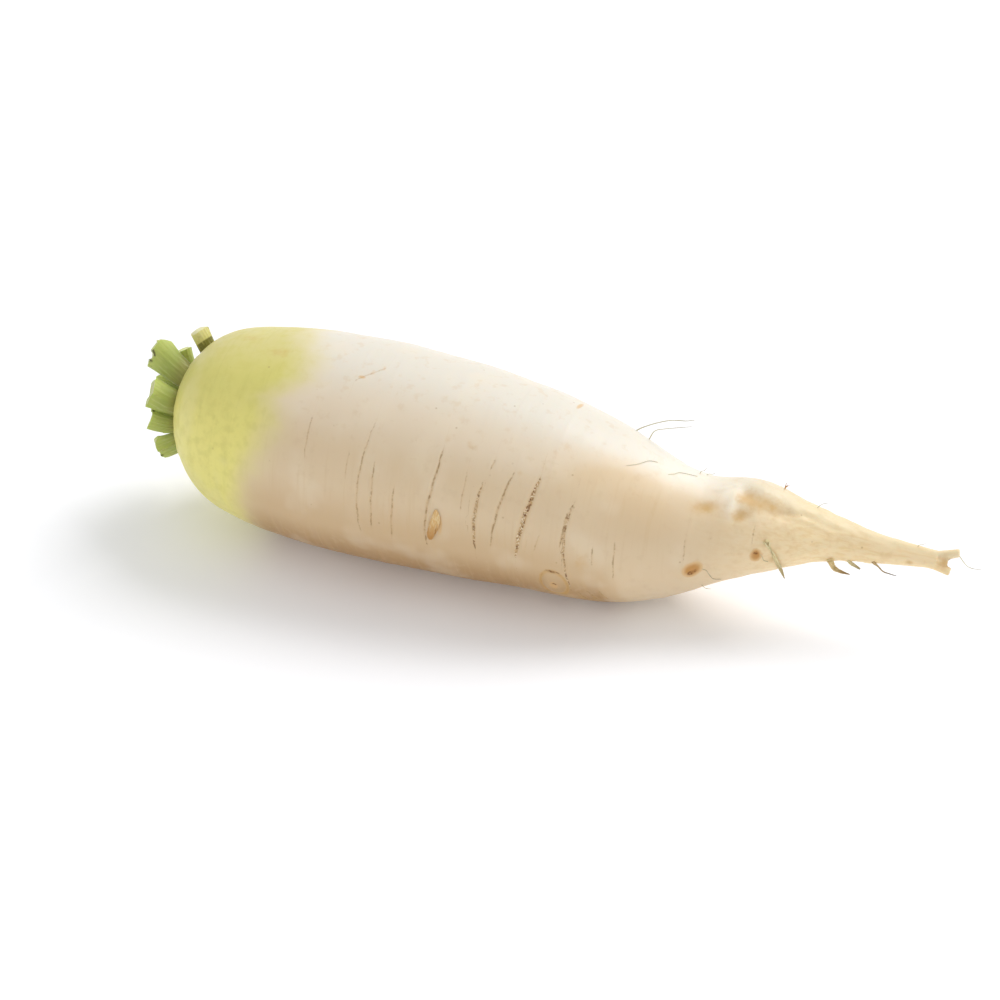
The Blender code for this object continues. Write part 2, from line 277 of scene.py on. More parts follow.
def daikon_skin():
    """Fresh washed daikon skin, thin and waxy over wet white flesh. It gives a satin light and a soft glow.

    Its colour runs from yellow-green at the crown, where the sun reached it, to cream, and to straw on
    the tail. Brown corky creases run round it where side roots grew.
    """
    material, node = start_material(
        "fresh_daikon_skin",
        IOR=1.42,
        Subsurface_Weight=0.15,
        Subsurface_Radius=(1.0, 0.62, 0.34),
        Subsurface_Scale=0.0035,
        Specular_IOR_Level=0.4,
    )
    written = ("green", "earth", "tail", "stain", "pale", "rust", "pit")
    written += ("crease_offset", "crease_width", "crease_tone")
    green, earth, tail, stain, pale, rust, pit, offset, half, strength = (
        node("Attribute", attribute_name=value, out="Fac") for value in written
    )
    place = object_place(node)
    ringwise = node("VectorMath MULTIPLY", place, (1.0, 0.06, 0.06))
    lengthwise = node("VectorMath MULTIPLY", place, (0.06, 1.0, 1.0))

    # The sizes of the patterns, in millimetres
    cloud = node("TexNoise", place, 1 / 18.0, 2.0, 0.5, out="Fac")
    mottle = node("TexNoise", place, 1 / 4.0, 3.0, 0.6, out="Fac")
    band = node("TexNoise", ringwise, 1 / 1.7, 3.0, 0.6, out="Fac")
    fibre = node("TexNoise", lengthwise, 1 / 1.3, 3.0, 0.6, out="Fac")
    speck = node("TexNoise", place, 1 / 0.7, 2.0, 0.7, out="Fac")
    some = node("TexNoise", place, 1 / 9.0, 1.0, 0.5, out="Fac")
    pin = node("TexVoronoi", place, 1 / 6.0, out="Distance")
    pore = node("TexNoise", place, 1 / 0.55, 3.0, 0.6, out="Fac")

    # Clouds and mottle loosen the edges of the green, the stains and the scars
    cloudy = node("Math ADD", cloud, -0.5)
    mottled = node("Math ADD", mottle, -0.5)
    green = node("Math MULTIPLY_ADD", cloudy, 0.6, green)
    green = node("Math MULTIPLY_ADD", mottled, 0.12, green)
    stain = node("Math MULTIPLY_ADD", mottled, 0.7, stain)
    rust = node("Math MULTIPLY_ADD", mottled, 0.45, rust)
    pit = node("Math MULTIPLY_ADD", mottled, 0.72, pit)

    fine_bands = node("MapRange", band, 0.5, 0.75, 0.0, 0.3)
    # The bands show more on the side turned from the light, which adds to the painted shade there
    fine_bands = node("Math MULTIPLY", fine_bands, node("MapRange", earth, 0.4, 0.8))
    creases, corky, dots = crease_coats(node, place, speck, offset, half, strength)
    pits = node("MapRange", pit, 0.4, 0.8, 0.0, 0.85)
    pits = node("Math MULTIPLY", pits, node("MapRange", speck, 0.42, 0.58, 0.35, 1.0))
    pins = node("MapRange", pin, 0.04, 0.09, 0.4, 0.0)
    pins = node("Math MULTIPLY", pins, node("MapRange", some, 0.5, 0.6))
    colour = tone("#E4DED1")
    for share, coat in (
        # Painted shade, with some earthy tan: greyer on the side turned to the studio light, cream on the
        # sides, and darker, warmer tan on the side turned away and underneath
        (node("MapRange", earth, 0.1, 0.38), tone("#E7D6BC")),
        (node("MapRange", earth, 0.34, 0.56), tone("#E2CBA8")),
        (node("MapRange", earth, 0.68, 0.86), tone("#D5B991")),
        (node("MapRange", earth, 0.86, 1.0), tone("#B58F60")),
        (node("MapRange", cloud, 0.5, 0.72, 0.0, 0.2), tone("#F5E8D4")),
        (fine_bands, tone("#D6B98C")),
        (node("MapRange", mottle, 0.54, 0.72, 0.0, 0.26), tone("#D6BC98")),
        # The green shoulder, with a soft edge
        (node("MapRange", green, 0.0, 0.6, 0.0, 0.6), tone("#E6D8A4")),
        (node("MapRange", green, 0.25, 0.95), shoulder_green(node, earth, cloud, mottle, band)),
        # Painted highlights, the straw-coloured tail, and stains, some of them painted shade
        (pale, tone("#FFF7E8")),
        (tail, tail_straw(node, earth, mottle, fibre)),
        (node("MapRange", stain, 0.15, 1.0, 0.0, 0.75), tone("#D1A865")),
        *creases,
        # Scars where side roots broke off: an orange disc, with dark streaks in its pits
        (node("MapRange", rust, 0.1, 0.55, 0.0, 0.75), tone("#DCB47C")),
        (node("MapRange", rust, 0.5, 1.0, 0.0, 0.9), tone("#C48D49")),
        (pits, tone("#75431F")),
        # Pin-point specks, some 10 mm apart
        (pins, tone("#A98655")),
    ):
        colour = node("Mix", share, colour, coat)

    # Satin, duller on corky bands and scars
    gloss = node("MapRange", mottle, 0.3, 0.7, 0.4, 0.5)
    gloss = node("Math MULTIPLY_ADD", corky, 0.25, gloss)
    gloss = node("Math MULTIPLY_ADD", node("MapRange", rust, 0.2, 0.6), 0.2, gloss)

    # Fine rings and pores, sunken dots, and fibres on the tail
    height = node("Math MULTIPLY_ADD", band, 0.5, node("Math MULTIPLY", pore, 0.5))
    height = node("Math MULTIPLY_ADD", dots, -1.2, height)
    height = node("Math MULTIPLY_ADD", node("Math MULTIPLY", fibre, tail), 1.5, height)
    normal = node("Bump", Strength=0.3, Distance=0.18 * MM, Height=height)
    return finish_material(material, Base_Color=colour, Roughness=gloss, Normal=normal)


def leaf_stalk(name, *tones, foot_reach=(0.12, 0.5)):
    """A fresh leaf stalk cut back near the crown: firm, ribbed and juicy, so satin with a green glow.

    The cut face is paler and wet, and torn tips have dried brown. Tones are of the foot, the body, the
    end, the cut face and the torn tips. The foot's tone ends over foot_reach, in shares of the length.
    """
    foot, body, end, face, browned = map(tone, tones)
    material, node = start_material(
        name,
        IOR=1.4,
        Subsurface_Weight=0.2,
        Subsurface_Radius=(0.6, 1.0, 0.25),
        Subsurface_Scale=0.002,
    )
    place = object_place(node)
    grain = node("Attribute", attribute_name="grain", out="Vector")
    along, cut, brown = (
        node("Attribute", attribute_name=value, out="Fac") for value in ("along", "cut", "brown")
    )
    fibre = node("TexNoise", grain, 1 / 0.8, 3.0, 0.6, out="Fac")  # veins are about 0.8 mm apart
    blotch = node("TexNoise", place, 1 / 3.0, 2.0, 0.5, out="Fac")
    cell = node("TexVoronoi", grain, 1 / 0.5, out="Distance")
    dried = node("Math MULTIPLY_ADD", node("Math ADD", blotch, -0.5), 1.4, brown)
    colour = foot
    for share, coat in (
        (node("MapRange", along, *foot_reach), body),
        (node("MapRange", along, 0.45, 0.95), end),
        (node("MapRange", fibre, 0.5, 0.68, 0.0, 0.5), body),
        (node("MapRange", fibre, 0.45, 0.3, 0.0, 0.35), face),
        (node("MapRange", blotch, 0.58, 0.75, 0.0, 0.35), foot),
        (cut, face),
        (node("Math MULTIPLY", cut, node("MapRange", cell, 0.3, 0.1, 0.0, 0.5)), body),
        (node("MapRange", dried, 0.35, 0.8, 0.0, 0.9), browned),
    ):
        colour = node("Mix", share, colour, coat)
    gloss = node("MapRange", fibre, 0.3, 0.7, 0.38, 0.55)
    height = node("Math MULTIPLY_ADD", blotch, 0.5, fibre)
    normal = node("Bump", Strength=0.4, Distance=0.2 * MM, Height=height)
    return finish_material(material, Base_Color=colour, Roughness=gloss, Normal=normal)


def dry_rootlet(name, *tones):
    """A side root that has begun to dry: straw, fibrous along its length and matt, darker to its tip.

    Tones are of its paler and its darker fibres and of its tip.
    """
    light, dark, tip = map(tone, tones)
    material, node = start_material(
        name, IOR=1.45, Subsurface_Weight=0.08, Subsurface_Radius=(1.0, 0.6, 0.3), Subsurface_Scale=0.001
    )
    place = object_place(node)
    grain = node("Attribute", attribute_name="grain", out="Vector")
    along = node("Attribute", attribute_name="along", out="Fac")
    fibre = node("TexNoise", grain, 1 / 0.6, 3.0, 0.65, out="Fac")
    patch = node("TexNoise", place, 1 / 1.6, 2.0, 0.6, out="Fac")
    colour = light
    for share, coat in (
        (node("MapRange", fibre, 0.4, 0.65), dark),
        (node("MapRange", patch, 0.5, 0.7, 0.0, 0.5), dark),
        (node("MapRange", along, 0.35, 1.0), tip),
    ):
        colour = node("Mix", share, colour, coat)
    height = node("Math ADD", fibre, patch)
    normal = node("Bump", Strength=0.5, Distance=0.15 * MM, Height=height)
    gloss = node("MapRange", fibre, 0.3, 0.7, 0.5, 0.7)
    return finish_material(material, Base_Color=colour, Roughness=gloss, Normal=normal)


# ---------------------------------------------------------------- the root's skin, as numbers

SEGMENTS = 180  # faces round the skin
RINGS = 520  # rings of faces from the crown to the tip
TIP_RINGS = 26
RING_SPACING = 0.95  # distance between rings, against those on the tail and at a crease
TAIL_SPACING = 0.8
TAIL_RINGS_FROM = 245.0
CREASE_SPACING = 0.35
CREASE_REACH = 1.5  # how near a crease the rings are closer together
CROWN_TURN = 30.0  # station where the rays that find the skin start to leave the middle line squarely
CROWN_PATH = 50.0  # path length given to the round crown before that
TAIL_END = 293.5  # last station found by rays; the tip is rounded off after it
TIP_REACH = 0.9  # how far the rounded tip stands out past its last ring
STRAND_ANGLE = 126.0  # the two strands of the tail lie at this angle and opposite it
# The forked tip: place along the strand angle, radius, reach, lean along the strand angle, flatness
FORKS = (
    (2.3, 1.95, 7.0, 0.32, 0.0),
    (-1.6, 1.9, 4.8, -0.25, 0.4),
    (0.2, 1.9, 3.2, 0.0, 0.0),
)
FORK_SIDE = (1.1, 0.7)  # a fork's side rises between these shares of its radius
CAST_ANGLES = 96
ROUND_WAVES = 12  # waves round the root that are kept, which smooths the flat facets away
ALONG_BLUR = 2.0
BLUR_ROWS = 8

# Relief of the skin: height of its lumps, and their size along the root, across it and upwards
WAVES = (0.32, (17.0, 24.0, 24.0))
WRINKLES = (0.07, (3.6, 22.0, 22.0))
RIPPLES = (0.04, (1.6, 9.0, 9.0))
TAIL_FURROWS = (0.35, (9.0, 3.6, 3.6))
FURROWED = (205.0, 245.0)  # stations between which the furrows set in
CALM_CROWN = (6.0, 18.0)  # the crown's end has none of the larger lumps
RELIEF_REACH = 3.0  # nearer the middle line than this, at the two ends, the relief fades out

# A crease is a groove between two low lips, and wavers from its line, once in about 9 mm
GROOVE_WIDTH = 0.25
LIP_PLACE = 0.5
LIP_WIDTH = 0.4
LIP_SHARE = 0.25
CREASE_WAVER = 0.1
WAVER_RATE = 0.012
NO_CREASE = 9.0  # the offset where no crease is near

# Creases: stations, angles, half-width, depth, how dark
CREASES = (
    ((68.0, 67.6, 68.0), (46, 34, 22), 0.24, 0.12, 0.3),
    ((84.5, 84.3), (32, 16), 0.2, 0.1, 0.25),
    ((92.0, 89.4, 90.4), (49, 17, -13), 0.28, 0.2, 0.45),
    ((94.7, 95.0), (30, -10), 0.28, 0.2, 0.5),
    ((103.2, 102.4), (19, -14), 0.4, 0.18, 0.5),
    ((118.8, 117.7, 115.9, 116.2), (45, 26, 8, -14), 0.38, 0.3, 0.62),
    ((129.3, 128.4), (35, 13), 0.22, 0.12, 0.3),
    ((138.1, 137.1), (46, 38), 0.28, 0.18, 0.5),
    ((135.4, 134.1, 134.2), (31, 18, -10), 0.62, 0.35, 0.8),
    ((145.8, 143.7, 139.9), (42, 30, -6), 0.4, 0.25, 0.6),
    ((155.1, 153.1, 150.8, 149.2), (44, 28, 9.5, -9), 0.8, 0.5, 1.0),
    ((158.0, 155.7), (11, -2), 0.22, 0.1, 0.35),
    ((166.8, 165.4), (30, 7), 0.5, 0.2, 0.68),
    ((168.5, 166.9, 167.0, 168.5), (37, 21, -3, -32), 0.32, 0.28, 0.8),
    ((176.8, 176.5), (13, -2), 0.22, 0.15, 0.5),
    ((184.0, 184.0), (20, -13), 0.22, 0.12, 0.45),
    ((207.0, 207.0), (29, 5), 0.2, 0.1, 0.45),
    ((229.5, 229.5), (39, 10), 0.2, 0.1, 0.35),
    ((79.0, 88.4), (69, 82), 0.3, 0.08, 0.25),
    ((174.0, 177.0), (-28, -44), 0.36, 0.2, 0.6),
    ((178.0, 180.5), (-26, -42), 0.32, 0.2, 0.6),
    ((170.5, 173.0), (-32, -46), 0.36, 0.2, 0.55),
)
HIDDEN_CREASES = 16  # more on the sides that face away, at places drawn by lot
HIDDEN_SEED = 11
HIDDEN_STATIONS = (62.0, 225.0)
HIDDEN_ANGLES = (140.0, 232.0)
HIDDEN_TURNS = (14.0, 36.0)
HIDDEN_SLANTS = (-2.5, 2.5)
HIDDEN_WIDTHS = (0.2, 0.5)
HIDDEN_DEPTH = 0.6  # against the half-width
HIDDEN_TONES = (0.3, 0.9)

# Swellings and hollows: station, angle, half-length, half-width, height
SWELLINGS = (
    (9.0, 100.0, 13.0, 30.0, 1.6),
    (224.5, 82.0, 3.6, 3.0, -0.5),
    (224.0, 51.0, 3.6, 2.6, -0.9),
    (219.5, 75.0, 2.0, 4.5, 0.6),
    (211.5, 62.0, 4.5, 2.6, -0.5),
    (237.0, 62.0, 5.0, 2.0, -0.5),
    (210.0, -8.0, 5.2, 4.4, 0.5),
    (209.6, -11.0, 1.6, 1.3, -0.6),
    (231.3, -5.0, 3.0, 3.4, 0.35),
    (231.2, -3.0, 1.0, 1.6, -0.4),
    (162.4, -27.0, 4.3, 6.4, 1.1),
    (162.6, -25.0, 1.0, 1.6, -0.5),
    (234.0, 10.0, 2.6, 2.2, 0.7),
    (119.5, 11.0, 3.0, 3.0, 0.4),
    (255.0, -42.0, 2.6, 1.8, 0.7),
    (262.5, -44.0, 1.8, 1.3, 0.5),
    (270.0, -46.0, 2.2, 1.3, 0.5),
    (284.2, -13.0, 1.2, 0.9, -0.4),
    (290.0, -54.0, 7.0, 3.0, -0.9),
)

# Round rims: station, angle, half-length, half-width, their share that the rim takes, height, stain. The
# stain on the sunken ring at 162.4 is partly painted shade of its groove
RIMS = (
    (162.4, -26.0, 4.9, 7.6, 0.15, -0.5, 0.9),
    (162.4, -27.0, 2.6, 4.2, 0.3, 0.3, 0.0),
    (210.2, -7.5, 3.3, 3.4, 0.2, 0.2, 0.0),
    (231.3, -5.0, 2.0, 2.6, 0.25, 0.2, 0.0),
)
RIM_PITS = 0.55  # share of a rim's stain that shows as dark pits; on the sunken ring they are partly painted shade

# Ridges and grooves along a line: stations, angles, half-width, height
RIDGES = (
    ((220.5, 219.5, 220.5), (84, 70, 50), 1.5, 0.35),
    ((239.6, 246.6, 254.9, 258.3, 265.5, 275.7), (62, 66, 50, 56, 58, 62), 1.1, 0.24),
    ((223.5, 230.0, 238.0), (84, 74, 68), 3.2, -0.75),
    ((236.5, 246.0), (68, 76), 1.3, -0.35),
    ((213.0, 215.5, 219.5), (84, 88, 94), 0.9, 0.45),
    ((248.0, 256.0, 264.0, 274.0), (20, 10, 6, 0), 1.3, 0.2),
)

# Stains: station, angle, half-length, half-width, strength
STAINS = (
    (224.0, 80.0, 3.6, 3.6, 0.8),
    (230.5, 73.0, 6.5, 5.0, 0.8),
    (239.5, 70.0, 5.0, 3.0, 0.5),
    (223.4, 50.0, 3.4, 2.6, 0.75),
    (211.5, 62.0, 5.5, 2.8, 0.8),
    (173.5, -1.0, 3.5, 5.0, 0.5),
    (31.0, 92.0, 5.0, 3.0, 0.4),
    (46.0, 79.0, 6.0, 4.0, 0.5),
    (128.0, 49.0, 2.5, 3.0, 0.4),
    (119.0, 1.0, 3.2, 5.0, 0.6),
    (236.7, -18.0, 2.0, 2.0, 0.7),
    (284.2, -13.0, 1.8, 1.2, 0.9),
    # Painted shade: these two broad faint stains darken the front of the waist, where the skin turns from the
    # light
    (158.0, 68.0, 8.0, 5.0, 0.25),
    (194.0, 56.0, 15.0, 9.0, 0.25),
    (147.5, 42.0, 1.6, 1.8, 0.5),
    (119.5, 49.0, 2.0, 2.6, 0.4),
    (168.0, -42.0, 14.0, 5.0, 0.5),
    (297.0, 40.0, 3.0, 3.0, 0.8),
)

# Painted highlights, where the skin is made nearly white on the lit top and the knuckle: station, angle,
# half-length, half-width, strength
PAINTED_HIGHLIGHTS = (
    (217.8, 80.0, 2.2, 4.5, 0.8),
    (220.2, 62.0, 1.8, 4.0, 0.6),
    (200.0, 96.0, 16.0, 9.0, 0.6),
    (236.0, 86.0, 6.0, 2.0, 0.4),
)

# Rings that older leaves left round the crown's end: their radii, half-width, waver and its length
LEAF_SCARS = (14.5, 17.5, 21.0)
LEAF_SCAR_WIDTH = 0.55
LEAF_SCAR_WAVER = 1.3
LEAF_SCAR_LUMP = 7.0
LEAF_SCARS_END = (16.0, 12.0)  # they fade out from the second station to the first
LEAF_SCAR_HEIGHT = 0.35
LEAF_SCAR_STAIN = 0.55

# Scars of broken side roots: station, angle, half-length, half-width, strength
SCARS = (
    (210.2, -7.5, 3.4, 3.5, 1.0),
    (231.3, -5.0, 2.0, 2.8, 1.0),
    (162.6, -25.0, 1.8, 2.6, 0.5),
    (120.9, 2.0, 1.2, 4.5, 0.6),
    (157.3, 108.0, 0.9, 5.0, 0.5),
    (81.0, 72.0, 1.6, 0.8, 0.5),
    (84.2, 77.0, 1.6, 0.8, 0.55),
    (87.4, 81.0, 1.4, 0.8, 0.5),
)

# Dark pits in them
PITS = (
    (209.6, -12.0, 1.5, 1.2, 1.0),
    (211.6, -9.0, 0.8, 1.6, 0.7),
    (231.2, -2.0, 1.3, 0.9, 1.0),
    (162.8, -24.0, 1.5, 1.0, 0.9),
    (162.0, -13.5, 3.4, 0.5, 0.6),
)

LIGHT_SIDE_ANGLE = 125.0  # the side turned to the studio light: the skin's colour is painted greyer there and darker away from it
# The underside, deepest in the painted shade, is painted lighter past these stations; before them its darker
# tan is painted shade
UNDERSIDE = (0.6, 1.0)
LESS_SHADED = (178.0, 194.0)
LESS_SHADED_SHARE = 0.5
# One broad patch of painted shade on the front, below the shoulder's lit top: station, angle, half-length,
# half-width, and how deep the painted shade goes there
SHADED_FRONT_PATCH = (190.0, 43.0, 27.0, 17.0)
SHADED_FRONT = 0.76
STRAW_TAIL = (204.0, 246.0)  # stations between which the straw colour of the tail sets in
STRAW_SHARE = 0.8

# Station at which the green ends, by angle, and where its fade ends and is full, counted from there
GREEN_FADE = (10.0, -14.0)
GREEN_EDGE = np.array([
    (-90.0, 38.0),
    (-40.0, 42.0),
    (0.0, 46.0),
    (20.0, 52.0),
    (37.0, 57.0),
    (50.0, 51.0),
    (64.0, 62.0),
    (80.0, 61.0),
    (97.0, 54.0),
    (116.0, 54.0),
    (160.0, 58.0),
    (205.0, 62.0),
    (240.0, 48.0),
    (270.0, 38.0),
])


def middle(station):
    """Height and drift of the middle line."""
    height = np.interp(station, MIDDLE_LINE[:, 0], MIDDLE_LINE[:, 1])
    drift = np.interp(station, MIDDLE_LINE[:, 0], MIDDLE_LINE[:, 2])
    return height, drift


def outward(angle):
    """Directions straight out of the root at angles."""
    turn = np.radians(angle)
    return np.stack([np.zeros_like(turn), -np.cos(turn), np.sin(turn)], axis=-1)


def ray(path, angle):
    """Start, in millimetres, and direction of the ray that finds the skin at a path length and angle."""
    station = CROWN_TURN + np.maximum(0.0, path - CROWN_PATH)
    height, drift = middle(station)
    turn = np.radians(np.minimum(90.0, 90.0 * path / CROWN_PATH))
    start = np.stack([CROWN_X + station, drift, height], axis=-1)
    direction = np.sin(turn)[..., None] * outward(angle)
    direction[..., 0] = -np.cos(turn)
    return start, direction


def surface_of(thing):
    """A search tree of a mesh's faces."""
    mesh = thing.data
    return BVHTree.FromPolygons([v.co for v in mesh.vertices], [p.vertices for p in mesh.polygons])


def ramp(value, start, end):
    """From 0 at a start to 1 at an end, and level beyond them."""
    return np.clip((value - start) / (end - start), 0.0, 1.0)


def turn_apart(angle, other):
    """The turn from one angle to another, from -180 to 180 degrees."""
    return (angle - other + 180.0) % 360.0 - 180.0


def sizes_away(spot, station, angle, radius):
    """How far places are from a spot's middle, along and across, in its half-lengths and half-widths."""
    middle_station, middle_angle, half_length, half_width = spot[:4]
    along = (station - middle_station) / half_length
    across = np.radians(turn_apart(angle, middle_angle)) * radius / half_width
    return along, across


def bump_at(spot, where, edge=1.0):
    """A bump of height 1 that falls to a third at its half-length and half-width. Edge 2 is steeper there."""
    along, across = sizes_away(spot, *where)
    return np.exp(-((along**2 + across**2) ** edge))


def bumps_at(spots, where, edge=1.0):
    """Spots added up, each with its height or strength."""
    return sum(spot[4] * bump_at(spot, where, edge) for spot in spots)


def rim_at(rim, where):
    """A round rim of height 1."""
    along, across = sizes_away(rim, *where)
    return np.exp(-(((np.hypot(along, across) - 1.0) / rim[4]) ** 2))


def apart_from_line(stations, angles, station, angle, radius):
    """Distance in millimetres from a line on the skin, measured along the skin."""
    found = np.full(len(station), 1e6)
    for i in range(len(stations) - 1):
        run = stations[i + 1] - stations[i]
        rise = np.radians(angles[i + 1] - angles[i]) * radius
        x = station - stations[i]
        y = np.radians(turn_apart(angle, angles[i])) * radius
        share = np.clip((x * run + y * rise) / (run**2 + rise**2), 0.0, 1.0)
        found = np.minimum(found, np.hypot(x - share * run, y - share * rise))
    return found


def hidden_creases():
    """Creases for the back and the far underside, like those on the side in view."""
    lot = np.random.default_rng(HIDDEN_SEED)
    found = []
    for _ in range(HIDDEN_CREASES):
        station = lot.uniform(*HIDDEN_STATIONS)
        start = lot.uniform(*HIDDEN_ANGLES)
        turn = lot.uniform(*HIDDEN_TURNS)
        slant = lot.uniform(*HIDDEN_SLANTS)
        size = lot.uniform(*HIDDEN_WIDTHS)
        stations = (station, station + 0.4 * slant, station + slant)
        angles = (start, start + 0.5 * turn, start + turn)
        found.append((stations, angles, size, HIDDEN_DEPTH * size, lot.uniform(*HIDDEN_TONES)))
    return found


def crease_field(station, angle, radius):
    """For every place: signed offset from the nearest crease, its half-width there, its depth and tone."""
    offset = np.full(len(station), NO_CREASE)
    width = np.zeros(len(station))
    depth = np.zeros(len(station))
    dark = np.zeros(len(station))
    for stations, angles, half_width, deep, shade in (*CREASES, *hidden_creases()):
        fit = np.polyfit(angles, stations, len(angles) - 1)
        low, high = min(angles), max(angles)
        share = (angle - low) / (high - low)
        held = np.clip(angle, low, high)
        line = np.polyval(fit, held)
        line += CREASE_WAVER * np.sin(held * radius * WAVER_RATE + 2.0 * stations[0])
        slope = np.polyval(np.polyder(fit), held) / (np.radians(1.0) * radius)
        away = (station - line) / np.hypot(1.0, slope)
        taper = np.sqrt(np.clip(4.0 * share * (1.0 - share), 0.0, 1.0))
        beyond = np.radians(np.abs(angle - held)) * radius
        nearer = np.hypot(away, beyond) < np.abs(offset)
        offset = np.where(nearer, away, offset)
        # The half-width sinks to nothing a few millimetres away, so that what it colours ends softly
        fade = ramp(np.abs(away), 3.0 * half_width + 1.0, 2.0 * half_width + 0.7)
        width = np.where(nearer, half_width * taper * fade, width)
        depth = np.where(nearer, deep * taper, depth)
        dark = np.where(nearer, shade, dark)
    return offset, width, depth, dark


def ring_paths():
    """Path lengths of the skin's rings, closer together where a crease is."""
    fine = np.arange(0.0, CROWN_PATH + TAIL_END - CROWN_TURN, 0.1)
    station = fine - CROWN_PATH + CROWN_TURN
    spacing = np.where(station > TAIL_RINGS_FROM, TAIL_SPACING, RING_SPACING)
    for stations, *_ in CREASES:
        for place in np.linspace(min(stations), max(stations), 6):
            near = np.exp(-(((station - place) / CREASE_REACH) ** 2))
            spacing = np.minimum(spacing, RING_SPACING - (RING_SPACING - CREASE_SPACING) * near)
    count = np.cumsum(1.0 / spacing)
    inner = RINGS - TIP_RINGS
    return np.interp(np.linspace(0.0, count[-1], inner + 1), count, fine)


def smooth_reach():
    """How far the CAD root's skin is along each ray, with its facets smoothed, for paths 1 mm apart."""
    tree = surface_of(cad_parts["taproot"])
    paths = np.arange(0.0, CROWN_PATH + TAIL_END - CROWN_TURN + 1.0, 1.0)
    angles = np.arange(CAST_ANGLES) * 360.0 / CAST_ANGLES
    reach = np.zeros((len(paths), CAST_ANGLES))
    for row, path in enumerate(paths):
        starts, directions = ray(np.full(CAST_ANGLES, path), angles)
        for column in range(CAST_ANGLES):
            start = Vector(starts[column]) * MM
            reach[row, column] = tree.ray_cast(start, Vector(directions[column]))[3] / MM
    waves = np.fft.rfft(reach, axis=1)[:, : ROUND_WAVES + 1]
    reach = np.fft.irfft(waves, n=SEGMENTS, axis=1) * SEGMENTS / CAST_ANGLES
    steps = np.arange(-BLUR_ROWS, BLUR_ROWS + 1)
    kernel = np.exp(-0.5 * (steps / ALONG_BLUR) ** 2)
    kernel /= kernel.sum()
    padded = np.pad(reach, ((BLUR_ROWS, BLUR_ROWS), (0, 0)), mode="edge")
    blurred = sum(weight * padded[i : i + len(paths)] for i, weight in enumerate(kernel))
    return paths, blurred


def lumps(points, size, octaves=1):
    """Noise from -1 to 1 at points, with lumps about that size, in millimetres."""
    scaled = points / np.array(size)
    if octaves == 1:
        return np.array([noise.noise(p) for p in scaled.tolist()])
    return np.array([noise.fractal(p, 1.0, 2.0, octaves) for p in scaled.tolist()])


def leaf_scars(points, station, radius):
    """The rings that older leaves left round the crown, from 0 to 1."""
    wavy = radius + LEAF_SCAR_WAVER * lumps(points + 20.0, (LEAF_SCAR_LUMP,) * 3)
    rings = sum(np.exp(-(((wavy - size) / LEAF_SCAR_WIDTH) ** 2)) for size in LEAF_SCARS)
    return rings * ramp(station, *LEAF_SCARS_END)


def relief(points, where):
    """How far the skin stands off the smooth body, in millimetres. Each kind of lump has noise of its own."""
    station, _, radius = where
    calm = ramp(station, *CALM_CROWN)
    furrowed = ramp(station, *FURROWED) * np.clip(radius / 8.0, 0.2, 1.0)
    height = WAVES[0] * calm * lumps(points, WAVES[1])
    height += WRINKLES[0] * calm * lumps(points, WRINKLES[1])
    height += RIPPLES[0] * lumps(points + 50.0, RIPPLES[1])
    height += TAIL_FURROWS[0] * furrowed * lumps(points + 90.0, TAIL_FURROWS[1], 2)
    height += bumps_at(SWELLINGS, where)
    for rim in RIMS:
        height += rim[5] * rim_at(rim, where)
    for stations, angles, half_width, high in RIDGES:
        away = apart_from_line(stations, angles, *where)
        height += high * np.exp(-((away / half_width) ** 2))
    height += LEAF_SCAR_HEIGHT * leaf_scars(points, station, radius)
    offset, width, depth, _ = crease_field(*where)
    groove = np.exp(-((offset / (width + GROOVE_WIDTH)) ** 2))
    lip = np.exp(-(((np.abs(offset) - 2.2 * width - LIP_PLACE) / (width + LIP_WIDTH)) ** 2))
    height += depth * (LIP_SHARE * lip - groove)
    return height


def place_of(points):
    """Station, angle and radius of points, in millimetres."""
    station = points[:, 0] - CROWN_X
    height, drift = middle(station)
    forward = drift - points[:, 1]
    rise = points[:, 2] - height
    angle = (np.degrees(np.arctan2(rise, forward)) + 90.0) % 360.0 - 90.0
    return station, angle, np.hypot(forward, rise)


def fork_tip(points, start, share):
    """The tail's end, closed from its last ring to its middle and drawn out into short forks."""
    flat = start + (points - start) * (1.0 - share)[:, None]
    up, aside = outward(STRAND_ANGLE), outward(STRAND_ANGLE - 90.0)
    along = (flat - start) @ up
    across = (flat - start) @ aside
    raised = TIP_REACH * np.sqrt(1.0 - (1.0 - share) ** 2)
    forks, moved, narrow = np.zeros(len(flat)), np.zeros(len(flat)), np.ones(len(flat))
    for place, size, reach, lean, flatness in FORKS:
        high = ramp(np.hypot(along - place, across) / size, *FORK_SIDE)
        high = high * high * (3.0 - 2.0 * high)
        forks = np.maximum(forks, reach * high)
        moved += lean * reach * high
        narrow -= flatness * high
    found = flat + moved[:, None] * up + ((narrow - 1.0) * across)[:, None] * aside
    found[:, 0] += raised + forks
    return found


